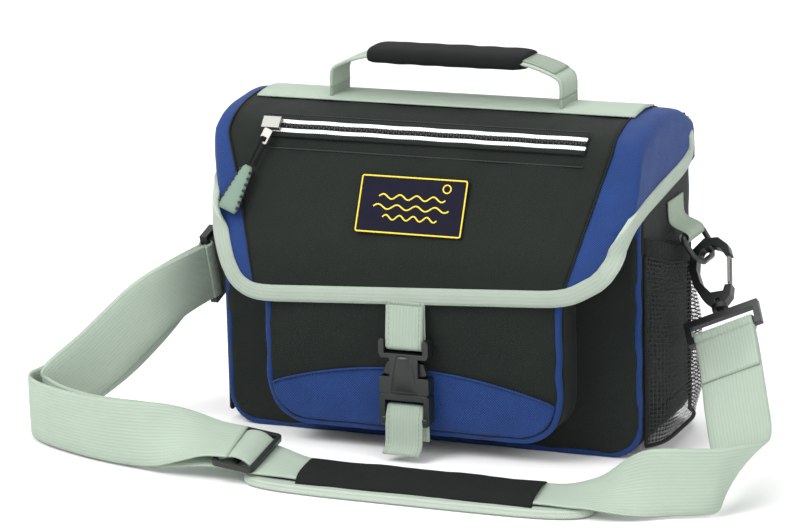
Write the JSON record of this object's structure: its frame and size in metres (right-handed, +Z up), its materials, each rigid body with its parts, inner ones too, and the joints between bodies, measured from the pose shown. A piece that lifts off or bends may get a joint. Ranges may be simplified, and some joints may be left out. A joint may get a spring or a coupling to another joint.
{
  "type": "shoulder tackle bag",
  "caption": "Soft shoulder tackle bag with a buckled lift-up flap, piped front pocket, side nets, carrying handle and a padded clip-on strap lying in front of it.",
  "frame": {"origin": "middle of the case's resting base, on the floor, midway between the front and back panels", "axes": "+X to the bag's right as seen from the front, -Y out of the front, +Z up"},
  "size_m": [0.4873, 0.23, 0.2436],
  "materials": {
    "panel_fabric": "matt coated woven nylon, near black green",
    "navy_fabric": "woven nylon, navy blue",
    "webbing": "pale grey-green woven webbing",
    "binding": "pale grey-green grosgrain tape",
    "piping_cord": "navy blue corded piping",
    "net": "open black netting",
    "elastic": "ribbed black elastic",
    "pad_foam": "dark textured padding",
    "badge_cloth": "dark navy moulded patch with a thin yellow border",
    "hardware_plastic": "dark grey-green moulded acetal",
    "black_plastic": "black moulded acetal",
    "grip_rubber": "grey-green rubber with dark ribs",
    "zip_metal": "worn nickel",
    "gate_metal": "bent steel wire",
    "zip_coil": "black nylon coil",
    "tape_white": "near white reflective tape",
    "black_cord": "black braided cord",
    "board": "stiff dark board"
  },
  "bodies": {
    "bag": {"front_panel": "panel_fabric", "back_panel": "panel_fabric", "side_panel_left": "panel_fabric", "side_panel_right": "panel_fabric", "base_panel": "panel_fabric", "front_piping": "piping_cord", "back_piping": "piping_cord", "rim_binding": "binding", "base_board": "board", "pocket_panel": "panel_fabric", "pocket_wave": "navy_fabric", "pocket_gusset": "panel_fabric", "pocket_piping": "piping_cord", "mesh_pocket_left": "net", "mesh_pocket_right": "net", "elastic_left": "elastic", "elastic_right": "elastic", "ring_loop_left": "webbing", "ring_loop_right": "webbing", "strap_main": "webbing", "strap_return": "webbing", "strap_slider": "black_plastic", "swivel_frame_left": "black_plastic", "swivel_frame_right": "black_plastic"},
    "flap": {"flap_panel": "panel_fabric", "wing_left": "navy_fabric", "wing_right": "navy_fabric", "flap_binding": "binding", "top_strip": "webbing", "badge": "badge_cloth", "zip_tape": "tape_white", "zip_teeth": "zip_coil", "handle_foot_left": "webbing", "handle_foot_right": "webbing", "socket_strap": "webbing", "buckle_socket": "hardware_plastic"},
    "handle": {"handle_webbing": "webbing", "handle_grip": "panel_fabric"},
    "zip_car": {"zip_slider": "zip_metal"},
    "puller": {"zip_tab": "zip_metal", "pull_cord": "black_cord", "pull_grip": "grip_rubber"},
    "plug": {"buckle_plug": "hardware_plastic", "lower_strap": "webbing"},
    "prong_a": {"prong_left": "hardware_plastic"},
    "prong_b": {"prong_right": "hardware_plastic"},
    "ring_a": {"d_ring_left": "hardware_plastic"},
    "ring_b": {"d_ring_right": "hardware_plastic"},
    "hook_a": {"hook_left": "black_plastic"},
    "hook_b": {"hook_right": "black_plastic"},
    "gate_a": {"gate_left": "gate_metal"},
    "gate_b": {"gate_right": "gate_metal"},
    "pad": {"shoulder_pad": "pad_foam", "pad_binding": "binding", "pad_sleeve": "panel_fabric"}
  },
  "joints": [
    {"name": "flap_lift", "type": "hinge", "parent": "bag", "child": "flap", "pos_m": [0, 0.05, 0.197], "axis": [-1, 0, 0], "range_deg": [0, 110]},
    {"name": "handle_swing", "type": "hinge", "parent": "flap", "child": "handle", "pos_m": [0, 0, 0.22], "axis": [1, 0, 0], "range_deg": [-35, 35]},
    {"name": "zip_slide", "type": "slide", "parent": "flap", "child": "zip_car", "axis": [1, 0, 0], "range_m": [0, 0.2]},
    {"name": "plug_swing", "type": "hinge", "parent": "bag", "child": "plug", "pos_m": [0, -0.0825, 0.01], "axis": [1, 0, 0], "range_deg": [0, 75]},
    {"name": "prong_press_left", "type": "hinge", "parent": "plug", "child": "prong_a", "pos_m": [-0.0075, -0.08825, 0.0423], "axis": [0, 1, 0], "range_deg": [0, 6], "stiffness_Nm_per_rad": 0.05},
    {"name": "prong_press_right", "type": "hinge", "parent": "plug", "child": "prong_b", "pos_m": [0.0075, -0.08825, 0.0423], "axis": [0, -1, 0], "range_deg": [0, 6], "stiffness_Nm_per_rad": 0.05},
    {"name": "ring_swing_left", "type": "hinge", "parent": "bag", "child": "ring_a", "pos_m": [-0.1485, 0.039, 0.112], "axis": [0, 0, 1], "range_deg": [-4, 4]},
    {"name": "ring_swing_right", "type": "hinge", "parent": "bag", "child": "ring_b", "pos_m": [0.1525, 0.014, 0.131], "axis": [0, 1, 0], "range_deg": [-4, 4]},
    {"name": "pad_slide", "type": "slide", "parent": "bag", "child": "pad", "axis": [1, 0, 0], "range_m": [-0.004, 0.004]},
    {"name": "pull_swing", "type": "hinge", "parent": "zip_car", "child": "puller", "pos_m": [-0.101, -0.05949, 0.19636], "axis": [0, -0.9029, 0.4299], "range_deg": [-18, 18]},
    {"name": "hook_swivel_left", "type": "hinge", "parent": "bag", "child": "hook_a", "pos_m": [-0.159, -0.01384, 0.10139], "axis": [0, 0.96, 0.28], "range_deg": [-6, 6]},
    {"name": "gate_open_left", "type": "hinge", "parent": "hook_a", "child": "gate_a", "pos_m": [-0.1684, -0.00126, 0.10506], "axis": [0, 0.28, -0.96], "range_deg": [0, 24], "stiffness_Nm_per_rad": 0.01},
    {"name": "hook_swivel_right", "type": "hinge", "parent": "bag", "child": "hook_b", "pos_m": [0.17732, -0.00767, 0.09079], "axis": [-0.3778, 0.6126, 0.6943], "range_deg": [-6, 6]},
    {"name": "gate_open_right", "type": "hinge", "parent": "hook_b", "child": "gate_b", "pos_m": [0.18098, 0.00166, 0.10343], "axis": [-0.1346, -0.7782, 0.6134], "range_deg": [0, 24], "stiffness_Nm_per_rad": 0.01}
  ]
}
